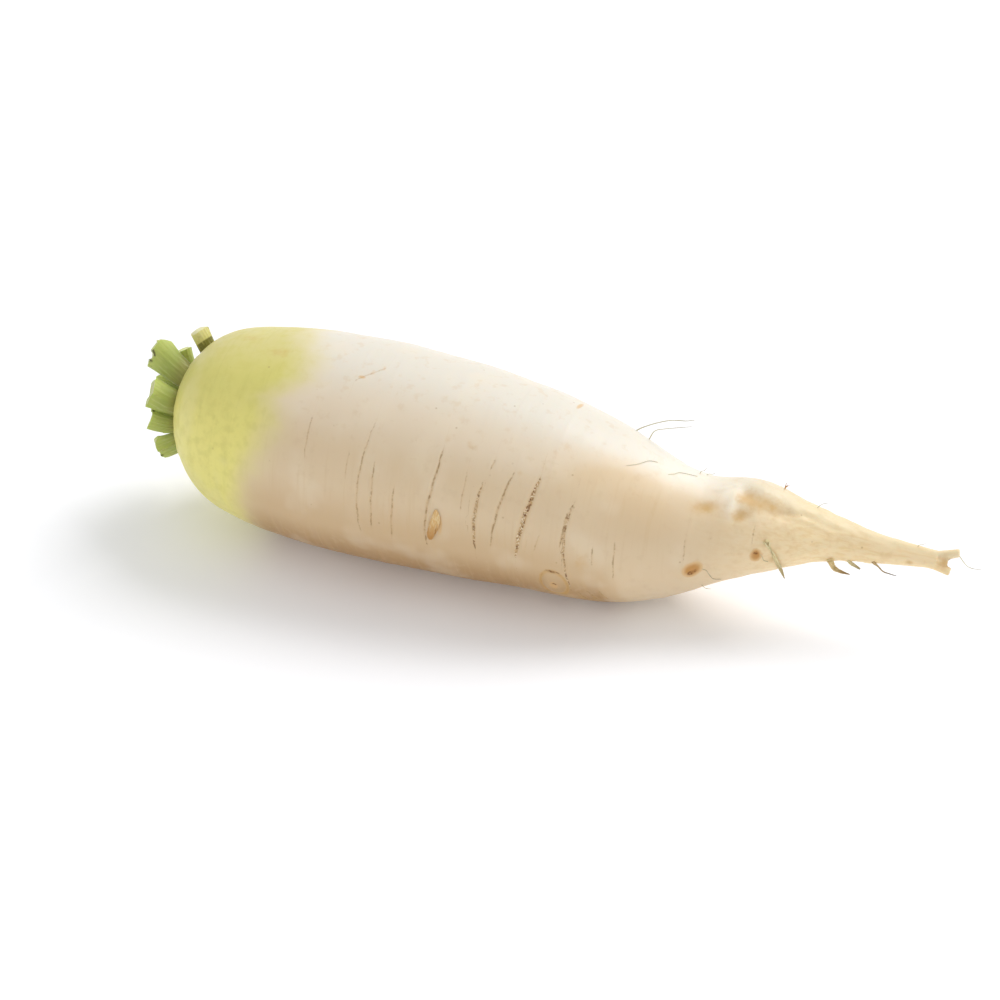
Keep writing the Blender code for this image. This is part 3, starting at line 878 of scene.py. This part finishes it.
def skin_points(polar, round_turn):
    """Places of the skin's points from a sphere's angles: polar is 0 at the crown, round turn in degrees."""
    ring = np.round(polar / math.pi * RINGS).astype(int)
    segment = np.round(round_turn / 360.0 * SEGMENTS).astype(int) % SEGMENTS
    paths, reach = smooth_reach()
    path = ring_paths()
    inner = len(path) - 1
    my_path = path[np.minimum(ring, inner)]
    row = np.minimum(my_path.astype(int), len(paths) - 2)
    share = my_path - row
    far = reach[row, segment] * (1.0 - share) + reach[row + 1, segment] * share
    angle = segment * 360.0 / SEGMENTS
    start, direction = ray(my_path, angle)
    points = start + far[:, None] * direction
    where = place_of(points)
    high = relief(points, where) * np.minimum(1.0, where[2] / RELIEF_REACH)
    points = points + high[:, None] * direction
    tip = ring > inner
    points[tip] = fork_tip(points[tip], start[tip], (ring[tip] - inner) / TIP_RINGS)
    points[:, 2] = np.maximum(points[:, 2], 0.0)
    return points


# ---------------------------------------------------------------- modelling helpers


def set_points(piece, points):
    """Lays a mesh's points at places in millimetres."""
    piece.data.vertices.foreach_set("co", (np.asarray(points) * MM).astype(np.float32).ravel())
    piece.data.update()


def get_points(piece):
    """A mesh's points, in millimetres."""
    found = np.zeros(len(piece.data.vertices) * 3, np.float32)
    piece.data.vertices.foreach_get("co", found)
    return found.reshape(-1, 3).astype(float) / MM


def write_values(piece, **values):
    """Writes named values or vectors of a piece's points, which its material reads."""
    for name, table in values.items():
        table = np.asarray(table, np.float32)
        kind, field = ("FLOAT_VECTOR", "vector") if table.ndim == 2 else ("FLOAT", "value")
        layer = piece.data.attributes.new(name, kind, "POINT")
        layer.data.foreach_set(field, table.ravel())


def face_outwards():
    """Turns the normals of the piece in hand outwards."""
    bpy.ops.object.mode_set(mode="EDIT")
    bpy.ops.mesh.select_all(action="SELECT")
    bpy.ops.mesh.normals_make_consistent(inside=False)
    bpy.ops.object.mode_set(mode="OBJECT")


def finish_piece(piece, name, node, material):
    """Names a finished piece, gives it its material and puts it in place of its CAD node, if it has one."""
    piece.name = name
    piece.data.name = name
    piece.data.materials.clear()
    piece.data.materials.append(material)
    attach(piece, "root")
    if node:
        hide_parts(node)


def draw_out(rings, smooth_angle=40.0, **values):
    """A closed piece drawn out of a disc: the disc is extruded once for each further ring of points.

    Rings are places in millimetres, with the same count each. Values go by ring and point too.
    """
    rings = np.asarray(rings)
    steps, sides = rings.shape[:2]
    bpy.ops.object.select_all(action="DESELECT")
    bpy.ops.mesh.primitive_circle_add(vertices=sides, radius=MM, fill_type="NGON")
    piece = bpy.context.object
    bpy.ops.object.mode_set(mode="EDIT")
    bpy.ops.mesh.select_all(action="SELECT")
    for _ in range(steps - 1):
        bpy.ops.mesh.extrude_region_move(TRANSFORM_OT_translate={"value": (0.0, 0.0, MM)})
    bpy.ops.object.mode_set(mode="OBJECT")
    start = get_points(piece)
    ring = np.round(start[:, 2]).astype(int)
    side = np.round(np.arctan2(start[:, 1], start[:, 0]) / (2.0 * math.pi) * sides).astype(int) % sides
    set_points(piece, rings[ring, side])
    face_outwards()
    bpy.ops.object.shade_smooth_by_angle(angle=math.radians(smooth_angle))
    write_values(piece, **{name: np.asarray(table)[ring, side] for name, table in values.items()})
    return piece


def unit(vector):
    """A vector, or each of several, made one long."""
    vector = np.asarray(vector, float)
    return vector / np.linalg.norm(vector, axis=-1, keepdims=True)


def smooth_line(points, count):
    """Evenly spread places on a smooth curve through points."""
    points = np.asarray(points, float)
    ends = np.concatenate([[2 * points[0] - points[1]], points, [2 * points[-1] - points[-2]]])
    where = np.linspace(0.0, len(points) - 1.0, count)
    first = np.minimum(where.astype(int), len(points) - 2)
    t = (where - first)[:, None]
    a, b, c, d = (ends[first + i] for i in range(4))
    return 0.5 * (2 * b + (c - a) * t + (2 * a - 5 * b + 4 * c - d) * t**2 + (3 * b - a - 3 * c + d) * t**3)


OUTSIDE = 100.0  # this far from the middle line is outside the root


class Skin:
    """The finished root skin, to set other pieces on."""

    def __init__(self, root):
        self.tree = surface_of(root)

    def spot(self, station, angle, lift=0.0):
        """A place on the skin at a station and angle, lifted off it by so many millimetres."""
        height, drift = middle(station)
        way = outward(angle)
        start = np.array([CROWN_X + station, drift, height]) + OUTSIDE * way
        point, normal, _, _ = self.tree.ray_cast(Vector(start) * MM, Vector(-way))
        return np.array(point) / MM + lift * np.array(normal), np.array(normal)

    def nearest(self, point):
        """The skin's nearest place to a point, its normal there and how far it is."""
        found, normal, _, away = self.tree.find_nearest(Vector(point) * MM)
        return np.array(found) / MM, np.array(normal), away / MM


# ---------------------------------------------------------------- leaf stalks

STALK_SIDES = 64
STALK_RINGS = 22
FACE_RINGS = (0.93, 0.82, 0.62, 0.38, 0.16, 0.03)  # the cut face, drawn in towards its middle
FACE_EDGE = 0.9  # rings drawn in further than this have the cut face's colour
STALK_SUNK = 1.3  # how far the foot starts under the skin
STALK_SPLAY = 0.5  # how far a stalk leans outwards as it leaves the crown
STALK_PULL = 0.45  # how far out the curve's control point lies, as a share of the length
STALK_BASE_SHARE = 0.74  # width at the foot against the cut
STALK_DEPTH_SHARE = 0.42  # depth against width
STALK_THINNING = 0.2
STALK_CHANNEL = 0.78
STALK_RIBS = 9
RIB_HEIGHT = 0.12
STALK_GRAIN = 0.07  # the fibres run lengthwise, so their pattern is drawn out that way
TORN_FROM = 0.45  # past this share of its length a stalk is shortened to its ragged cut
TOOTH_WIDTH = 0.1  # half-width of a browned tip, across the stalk from -1 to 1
BROWNED = (0.82, 0.96)  # shares of the length between which it browns
EDGE_BROWN = 0.2  # how browned the whole edge is, and how much more a torn tip
TIP_BROWN = 0.9
HIDDEN_TEETH = 9  # points of a cut that is drawn by lot
CAD_FOOT = 0.2  # this share of a CAD stalk's points, those nearest the skin, is its foot
CAD_CUT = 0.85  # those past this share are its cut

# The stalks in front: twist about the stalk, width against the CAD's, how far foot and cut lie from the
# CAD's along X and Z, the torn cut as pairs of place across, from -1 to 1, and how far it falls short,
# and the places across where a torn tip dried brown
CUTS = {
    "outer_stalk_1": (
        45.0, 1.14, (-0.6, 1.4), (0.4, 2.8),
        (-1, 3.8, -0.8, 3.0, -0.62, 2.2, -0.52, 2.9, -0.3, 2.2, -0.2, 0.4, 0.06, 0.1, 0.4, 0.0, 0.46, -0.9,
         0.52, 0.0, 0.65, 0.2, 0.82, 1.7, 1, 3.8),
        (-0.62, -0.22),
    ),
    "outer_stalk_2": (
        -10.0, 1.18, (0.0, -1.9), (-0.6, 0.4),
        (-1, 2.6, -0.58, 1.6, -0.32, 1.7, 0.06, 0.75, 0.5, 0.0, 0.8, 0.4, 1, 2.0),
        (),
    ),
    "outer_stalk_3": (
        -20.0, 1.06, (0.0, -1.8), (-2.0, 1.6),
        (-1, 1.2, -0.5, 1.0, 0.0, 0.9, 0.5, 0.7, 0.8, 0.1, 0.92, 0.0, 1, 0.5),
        (0.88,),
    ),
    "outer_stalk_9": (
        30.0, 1.12, (-1.5, 0.0), (0.9, 0.9),
        (-1, 1.6, -0.5, 0.3, 0.2, 0.0, 0.7, 0.2, 1, 0.7),
        (0.75,),
    ),
    "old_stalk_stub": (
        20.0, 1.12, (-0.4, 0.2), (1.2, 2.0),
        (-1, 0.6, -0.5, 0.0, 0.4, 0.0, 1, 0.7),
        (0.6,),
    ),
}


def measure_stalk(node, skin):
    """Foot, foot normal, cut, angle and half-width of a CAD leaf stalk."""
    points = get_points(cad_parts[node])
    away = np.array([skin.nearest(p)[2] for p in points])
    foot = points[away <= np.quantile(away, CAD_FOOT)].mean(axis=0)
    end = points[away >= np.quantile(away, CAD_CUT)].mean(axis=0)
    under, normal, _ = skin.nearest(foot)
    _, height, drift = MIDDLE_LINE[0]
    angle = math.degrees(math.atan2(end[2] - height, drift - end[1]))
    around = outward(angle + 90.0)
    across = (points - end) @ around
    half = 0.5 * (across.max() - across.min())
    return under, normal, end, angle, half


def ragged_cut(node):
    """How a stalk sits and was torn or cut, as CUTS gives it, or by lot."""
    if node in CUTS:
        twist, widen, foot, tip, pairs, dried = CUTS[node]
        return twist, widen, foot, tip, np.array(pairs[::2], float), np.array(pairs[1::2], float), dried
    lot = np.random.default_rng(sum(map(ord, node)))
    places = np.linspace(-1.0, 1.0, HIDDEN_TEETH)
    short = lot.uniform(0.0, 1.3, HIDDEN_TEETH)
    short[[0, -1]] += lot.uniform(0.6, 1.8, 2)
    return 0.0, 1.05, (0.0, 0.0), (0.0, 0.0), places, short, (places[np.argmin(short)],)


def make_stalk(
    node, name, material, skin, channel=STALK_CHANNEL, depth_share=STALK_DEPTH_SHARE, dome=-0.5
):
    """A trimmed leaf stalk: ribbed outside, channelled inside, with its ragged cut face hollow or domed.

    s runs from its foot to its cut, and q from the cut's rim, at 1, to its middle.
    """
    under, normal, end, angle, half = measure_stalk(node, skin)
    twist, widen, foot_move, cut_move, places, short, dried = ragged_cut(node)
    half *= widen
    end = end + np.array([cut_move[0], 0.0, cut_move[1]])
    start = under - STALK_SUNK * normal + np.array([foot_move[0], 0.0, foot_move[1]])
    reach = np.linalg.norm(end - start)
    pull = start + STALK_PULL * reach * unit(normal + STALK_SPLAY * outward(angle))
    end_axis = unit(end - pull)
    turn = np.arange(STALK_SIDES) * 2.0 * math.pi / STALK_SIDES
    cos, sin = np.cos(turn), np.sin(turn)
    rings, along, cut, brown, grain = [], [], [], [], []
    steps = [(s, 1.0) for s in np.linspace(0.0, 1.0, STALK_RINGS)] + [(1.0, q) for q in FACE_RINGS]
    for s, q in steps:
        centre = (1 - s) ** 2 * start + 2 * s * (1 - s) * pull + s**2 * end
        axis = unit(normal * (1 - s) + end_axis * s)
        around = outward(angle + 90.0)
        around = unit(around - around @ axis * axis)
        out = np.cross(axis, around)
        if out @ outward(angle) < 0.0:
            out = -out
        lean = math.radians(twist)
        around, out = (
            around * math.cos(lean) + out * math.sin(lean),
            out * math.cos(lean) - around * math.sin(lean),
        )
        width = half * (STALK_BASE_SHARE + (1.0 - STALK_BASE_SHARE) * s)
        depth = depth_share * half * (1.0 - STALK_THINNING * s)
        curl = channel * half * s * (1.0 - depth_share)
        rib = RIB_HEIGHT * np.cos(STALK_RIBS * 2.0 * np.arcsin(np.clip(cos, -1, 1))) * np.maximum(0.0, sin)
        across = q * width * cos
        deep = (q * (depth * sin + rib)) + curl * (0.5 - (q * cos) ** 2)
        lack = np.interp(q * cos, places, short) * ramp(s, TORN_FROM, 1.0) ** 1.5
        back = dome * (1.0 - q**2) * (q < 1.0) - lack
        rings.append(centre + across[:, None] * around + deep[:, None] * out + back[:, None] * axis)
        along.append(np.full(STALK_SIDES, s))
        cut.append(np.full(STALK_SIDES, float(q < FACE_EDGE)))
        teeth = np.zeros(STALK_SIDES)
        for tooth in dried:
            teeth += np.exp(-(((q * cos - tooth) / TOOTH_WIDTH) ** 2))
        brown.append(ramp(s, *BROWNED) * (EDGE_BROWN + TIP_BROWN * teeth) * (q > FACE_EDGE))
        grain.append(np.stack([across, deep, np.full(STALK_SIDES, STALK_GRAIN * s * reach)], axis=-1))
    piece = draw_out(rings, along=along, cut=cut, brown=brown, grain=grain)
    finish_piece(piece, name, node, material)


# ---------------------------------------------------------------- side roots and hairs

KNOTTY = 0.1  # how far a rootlet's radius varies from ring to ring
ROOTLET_GRAIN = 0.15  # the pattern of its fibres is drawn out lengthwise
ROOTLET_END = ((0.75, 0.45), (0.3, 0.75))  # size and reach of its last two rings, which round its end


def grow(points, radii, sides=10, rings=18, flat=1.0, facing=(0.0, 0.0, 1.0), seed=0):
    """A thin root along points, with its radius given evenly along it, closed and rounded at its end."""
    line = smooth_line(points, rings)
    heading = unit(np.gradient(line, axis=0))
    aside = unit(np.cross(heading, np.asarray(facing, float)))
    above = np.cross(aside, heading)
    radius = np.interp(np.linspace(0, 1, rings), np.linspace(0, 1, len(radii)), radii)
    lot = np.random.default_rng(seed)
    radius = radius * (1.0 + KNOTTY * lot.uniform(-1.0, 1.0, rings))
    turn = np.arange(sides) * 2.0 * math.pi / sides
    loops, along, grain = [], [], []
    for i in range(rings):
        wide = radius[i] * np.cos(turn)
        high = radius[i] * flat * np.sin(turn)
        loops.append(line[i] + wide[:, None] * aside[i] + high[:, None] * above[i])
        along.append(np.full(sides, i / (rings - 1)))
        grain.append(np.stack([wide * 2.0, high * 2.0, np.full(sides, ROOTLET_GRAIN * i)], axis=-1))
    last = loops[-1]
    for share, push in ROOTLET_END:
        centre = last.mean(axis=0)
        loops.append(centre + share * (last - centre) + push * radius[-1] * heading[-1])
        along.append(along[-1])
        grain.append(grain[-1])
    return draw_out(loops, smooth_angle=60.0, along=along, grain=grain)


def join_pieces(pieces):
    """One object of several."""
    bpy.ops.object.select_all(action="DESELECT")
    for piece in pieces:
        piece.select_set(True)
    bpy.context.view_layer.objects.active = pieces[0]
    bpy.ops.object.join()
    return bpy.context.object


# ---------------------------------------------------------------- the root


def make_taproot(material):
    """The root, shaped out of a sphere whose poles are the crown's end and the tip."""
    bpy.ops.object.select_all(action="DESELECT")
    bpy.ops.mesh.primitive_uv_sphere_add(segments=SEGMENTS, ring_count=RINGS, radius=1.0)
    root = bpy.context.object
    ball = get_points(root) * MM
    polar = np.arccos(np.clip(ball[:, 2], -1.0, 1.0))
    round_turn = np.degrees(np.arctan2(ball[:, 1], ball[:, 0])) % 360.0
    set_points(root, skin_points(polar, round_turn))
    face_outwards()
    bpy.ops.object.shade_smooth()
    paint_root(root)
    finish_piece(root, "root_skin", "taproot", material)
    return root


def paint_root(root):
    """Writes what the skin's material reads: where it is green, stained, scarred or creased, and where shade
    and highlights are painted on it.
    """
    points = get_points(root)
    where = place_of(points)
    station, angle, radius = where
    edge = np.interp(angle, GREEN_EDGE[:, 0], GREEN_EDGE[:, 1])
    # Painted shade: the further the skin turns from the studio light, the darker and warmer its colour
    earth = 0.5 - 0.5 * outward(angle) @ outward(LIGHT_SIDE_ANGLE)
    earth -= LESS_SHADED_SHARE * ramp(earth, *UNDERSIDE) * ramp(station, *LESS_SHADED)
    earth += (SHADED_FRONT - earth) * bump_at(SHADED_FRONT_PATCH, where, edge=1.5)
    # The sunken ring's stain and pits are partly painted shade of its groove
    rims = sum(rim[6] * rim_at(rim, where) for rim in RIMS)
    offset, width, _, dark = crease_field(*where)
    write_values(
        root,
        green=ramp(station - edge, *GREEN_FADE),
        earth=earth,
        tail=STRAW_SHARE * ramp(station, *STRAW_TAIL) ** 1.2,
        stain=bumps_at(STAINS, where) + rims + LEAF_SCAR_STAIN * leaf_scars(points, station, radius),
        # Painted highlights on the lit top and the knuckle
        pale=np.clip(bumps_at(PAINTED_HIGHLIGHTS, where), 0.0, 1.0),
        rust=bumps_at(SCARS, where, edge=2.0),
        pit=bumps_at(PITS, where) + RIM_PITS * rims,
        crease_offset=offset,
        crease_width=width,
        crease_tone=dark,
    )


# ---------------------------------------------------------------- what grows on the root

BEND_SHARES = (0.2, 0.5, 0.8, 1.0)  # places along a far side root at which it is bent
HAIR_SIDES = 6
STANDING_SEED = 9
LYING_SEED = 10
TIP_HAIR_FOOT = (157.5, 12.0, 36.0)  # near the longest fork's end
TUFT_STATION = 235.1
TUFT_ANGLE = 117.5
TUFT_LENGTH = 2.3
TUFT_STRANDS = 6
TUFT_SEED = 5


def make_crown(skin):
    """The trimmed leaf stalks, oldest outside."""
    green = leaf_stalk("fresh_leaf_stalk", "#9A9A55", "#A5B15C", "#B9C468", "#D3D79A", "#5E5A35")
    heart = leaf_stalk("young_heart_stalk", "#BDBE6C", "#C4CB74", "#CBD47A", "#E2E4AE", "#8C8448")
    # The old stub's dark olive lower half, which ends sharply over foot_reach, is a darker base and partly
    # painted shade of its side turned from the light
    old = leaf_stalk(
        "old_dried_stalk", "#757122", "#D0CA78", "#DAD38C", "#E6E2B4", "#A89C60", foot_reach=(0.48, 0.56)
    )
    for count, kind, material, slot in (
        (9, "outer", green, "stalk_green"),
        (5, "inner", green, "stalk_green"),
        (3, "heart", heart, "stalk_pale"),
    ):
        for number in range(1, count + 1):
            make_stalk(f"{kind}_stalk_{number}", f"{kind}_leaf_stalk_{number}", material, skin)
    make_stalk(
        "old_stalk_stub", "old_leaf_stub", old, skin, channel=0.0, depth_share=0.85, dome=0.7
    )


def from_skin(skin, station, angle, offsets, sunk=0.6):
    """Places of a rootlet that leaves the skin and then follows offsets in millimetres."""
    base, normal = skin.spot(station, angle)
    inner = base - sunk * normal
    return np.array([inner] + [base + np.array(offset) for offset in offsets])


def along_skin(skin, route, lift):
    """Places of a rootlet that lies along the skin, from stations and angles."""
    return np.array([skin.spot(station, angle, lift)[0] for station, angle in route])


def make_side_roots(skin):
    straw = dry_rootlet("dry_straw_rootlet", "#E3CD96", "#C8AA70", "#9A7C50")
    tan = dry_rootlet("torn_orange_rootlet", "#EBCF9C", "#D9AC68", "#BE8B4C")
    olive = dry_rootlet("flat_olive_rootlet", "#EBDDB0", "#CDBB84", "#A89668")
    dark = dry_rootlet("dried_dark_rootlet", "#D0B27C", "#93805F", "#59503F")

    # Torn strip that lies down along the skin, wider where it hangs free, and a strand torn off beside it
    strip = along_skin(skin, ((119.9, 11.0), (119.5, 7.0), (118.9, 3.0), (118.1, -2.0), (117.4, -7.0)), 0.5)
    strand = along_skin(skin, ((120.5, 10.0), (120.6, 6.0), (120.2, 1.0), (119.4, -4.0)), 0.35)
    piece = join_pieces([
        grow(strip, (0.5, 1.0, 1.25, 1.35, 1.45, 1.4, 1.1), rings=28, flat=0.4, facing=outward(4.0), seed=1),
        grow(strand, (0.3, 0.7, 0.8, 0.5, 0.2), rings=24, flat=0.5, facing=outward(4.0), seed=2),
    ])
    finish_piece(piece, "torn_side_root", "side_root_1", tan)

    # Forked rootlet: it lies on the skin and then hangs free, with a thinner twin and a knot at its foot
    route = ((233.2, 17.0), (234.4, 11.5), (235.6, 6.0), (236.9, -4.0), (238.0, -18.0), (238.9, -33.0))
    upper = along_skin(skin, route, 0.55)
    hanging = upper[-1] + np.array([(0.9, 0.0, -1.7), (1.6, 0.1, -3.4), (2.2, 0.3, -5.0)])
    main = np.concatenate([upper, hanging])
    twin = along_skin(skin, ((235.0, 17.5), (235.4, 11.0), (236.2, 2.0), (237.0, -7.0)), 0.6)
    knot = along_skin(skin, ((234.3, 19.5), (234.4, 16.5), (234.7, 13.5)), 0.6)
    radii = (0.3, 0.45, 0.5, 0.75, 1.05, 0.8, 0.5, 0.2)
    piece = join_pieces([
        grow(main, radii, rings=34, flat=0.5, facing=outward(-10.0), seed=3),
        grow(twin, (0.3, 0.4, 0.4, 0.3), flat=0.7, facing=outward(0.0), seed=4),
        grow(knot, (0.5, 0.8, 0.6), rings=9, flat=0.8, facing=outward(15.0), seed=5),
    ])
    finish_piece(piece, "forked_rootlet", "side_root_2", olive)

    # Round side roots under the tail: name, node, station, angle, way from the skin, radii, rings, seed
    for name, node, station, angle, offsets, radii, rings, seed, material in (
        ("thick_side_root", "side_root_3", 256.2, -36.0,
         ((0.5, 0.0, -1.0), (1.9, 0.0, -3.2), (4.6, 0.1, -4.2), (7.6, 0.3, -4.7)),
         (1.6, 1.3, 1.05, 0.95, 0.75, 0.5, 0.15), 26, 6, straw),
        ("short_side_root", "side_root_4", 262.5, -38.0,
         ((0.9, 0.0, -0.6), (2.7, 0.0, -1.5), (4.5, 0.0, -2.4)),
         (0.8, 0.75, 0.7, 0.6, 0.35), 16, 7, olive),
        ("thin_side_root", "side_root_5", 271.4, -38.0,
         ((0.6, 0.0, -0.4), (1.9, 0.0, -1.3), (3.9, 0.0, -3.1), (6.5, 0.0, -3.6), (8.9, 0.0, -3.9)),
         (0.9, 0.7, 0.4, 0.28, 0.24, 0.2, 0.1), 30, 8, dark),
    ):
        piece = grow(from_skin(skin, station, angle, offsets), radii, rings=rings, seed=seed)
        finish_piece(piece, name, node, material)

    # On the far side they leave the skin squarely and bend towards the tip
    for node, station, angle, length, radii in (
        ("side_root_6", 232.0, 206.0, 12.0, (1.0, 0.8, 0.6, 0.4, 0.15)),
        ("side_root_7", 249.0, 214.0, 9.0, (0.9, 0.7, 0.5, 0.3, 0.12)),
        ("side_root_8", 264.0, 222.0, 7.0, (0.7, 0.5, 0.4, 0.25, 0.1)),
    ):
        way = outward(angle)
        bends = [way * (1.0 - 0.5 * share) + np.array([0.75 * share, 0.0, 0.0]) for share in BEND_SHARES]
        offsets = [share * length * 0.75 * bend for share, bend in zip(BEND_SHARES, bends)]
        piece = grow(from_skin(skin, station, angle, offsets), radii, rings=22, seed=int(station))
        finish_piece(piece, "far_" + node, node, straw)


def make_hairs(skin):
    """Fine root hairs, left on the narrow part of the root."""
    pale = dry_rootlet("fine_root_hair", "#CDC7A8", "#BBB492", "#A39B7C")
    rusty = dry_rootlet("rusty_root_hair", "#E3C08A", "#CB975C", "#A87442")

    # Hairs that stand off the skin: station, angle, way from the skin, radius
    standing = (
        (176.6, 124.6, ((2.8, 0, 1.9), (8.0, 0, 4.9), (13.5, 0, 7.2), (18.9, 0, 8.1), (22.1, 0, 9.2)), 0.24),
        (182.0, 125.0, ((1.9, 0, 3.9), (5.8, 0, 5.7), (10.8, 0, 7.3), (15.9, 0, 8.9)), 0.19),
        (204.0, 110.0, ((0.5, 0, 0.9), (1.6, 0, 1.5), (2.4, 0, 2.8)), 0.13),
        (206.0, 112.0, ((1.2, 0, 0.5), (2.8, 0, 0.8), (3.6, 0, 1.9)), 0.12),
        (248.0, 110.0, ((0.9, 0, 0.9), (2.4, 0, 2.2), (3.8, 0, 2.5)), 0.13),
        (285.9, 105.0, ((0.6, 0, 0.7), (1.9, 0, 1.3), (2.9, 0, 2.0)), 0.12),
        (222.0, 215.0, ((0.5, 0.9, 0), (1.6, 2.2, -0.4), (3.4, 3.4, -0.2)), 0.14),
        (195.0, 200.0, ((0.6, 1.0, 0), (2.0, 2.6, 0.5), (4.5, 3.9, 0.6)), 0.14),
        (212.0, -44.0, ((0.7, 0, -0.2), (1.9, -0.1, -0.9), (3.9, 0, -0.8)), 0.13),
    )
    for number, (station, angle, offsets, radius) in enumerate(standing, 1):
        route = from_skin(skin, station, angle, offsets, sunk=0.4)
        radii = (1.4 * radius, radius, radius, 0.8 * radius, 0.5 * radius)
        piece = grow(route, radii, sides=HAIR_SIDES, rings=20, seed=STANDING_SEED)
        finish_piece(piece, f"hair_{number}", None, pale)

    foot, _, _ = skin.nearest(TIP_HAIR_FOOT)
    offsets = [(0.0, 0.0, 0.0), (1.5, 0.0, -2.0), (3.2, 0.0, -3.6), (5.4, 0.0, -4.1), (8.0, 0.0, -3.8)]
    radii = (0.24, 0.2, 0.17, 0.14, 0.08)
    piece = grow(foot + np.array(offsets), radii, sides=HAIR_SIDES, rings=22, seed=STANDING_SEED)
    finish_piece(piece, "tip_hair", None, pale)

    # Hairs that lie on the skin, through stations and angles
    lying = (
        ((181.5, 74.0), (184.2, 79.3), (185.8, 84.0), (187.5, 89.6), (190.0, 93.0)),
        ((195.0, 85.7), (196.8, 90.0), (198.4, 95.5), (204.0, 100.0)),
        ((213.5, -11.0), (214.7, -14.4), (215.6, -24.0), (216.6, -35.1), (219.0, -41.5)),
        ((232.9, -3.0), (233.6, -9.0), (234.0, -16.0), (235.4, -20.0)),
        ((200.0, 170.0), (204.0, 178.0), (206.0, 190.0), (211.0, 199.0)),
    )
    radii = (0.09, 0.11, 0.1, 0.08)
    for number, route in enumerate(lying, 1):
        points = along_skin(skin, route, 0.1)
        facing = outward(route[0][1])
        piece = grow(points, radii, sides=HAIR_SIDES, rings=26, facing=facing, seed=LYING_SEED)
        finish_piece(piece, f"lying_hair_{number}", None, pale)

    lot = np.random.default_rng(TUFT_SEED)
    strands = []
    for _ in range(TUFT_STRANDS):
        way = TUFT_LENGTH * unit(outward(TUFT_ANGLE) + lot.uniform(-0.9, 0.9, 3))
        side = lot.uniform(-0.5, 0.5, 3)
        route = from_skin(skin, TUFT_STATION, TUFT_ANGLE, (0.4 * way, way + side), sunk=0.3)
        strands.append(grow(route, (0.2, 0.15, 0.08), sides=5, rings=8))
    finish_piece(join_pieces(strands), "rusty_tuft", None, rusty)


# ---------------------------------------------------------------- the scene

add_camera()
light_the_studio()
add_floor()
skin = Skin(make_taproot(daikon_skin()))
make_crown(skin)
make_side_roots(skin)
make_hairs(skin)
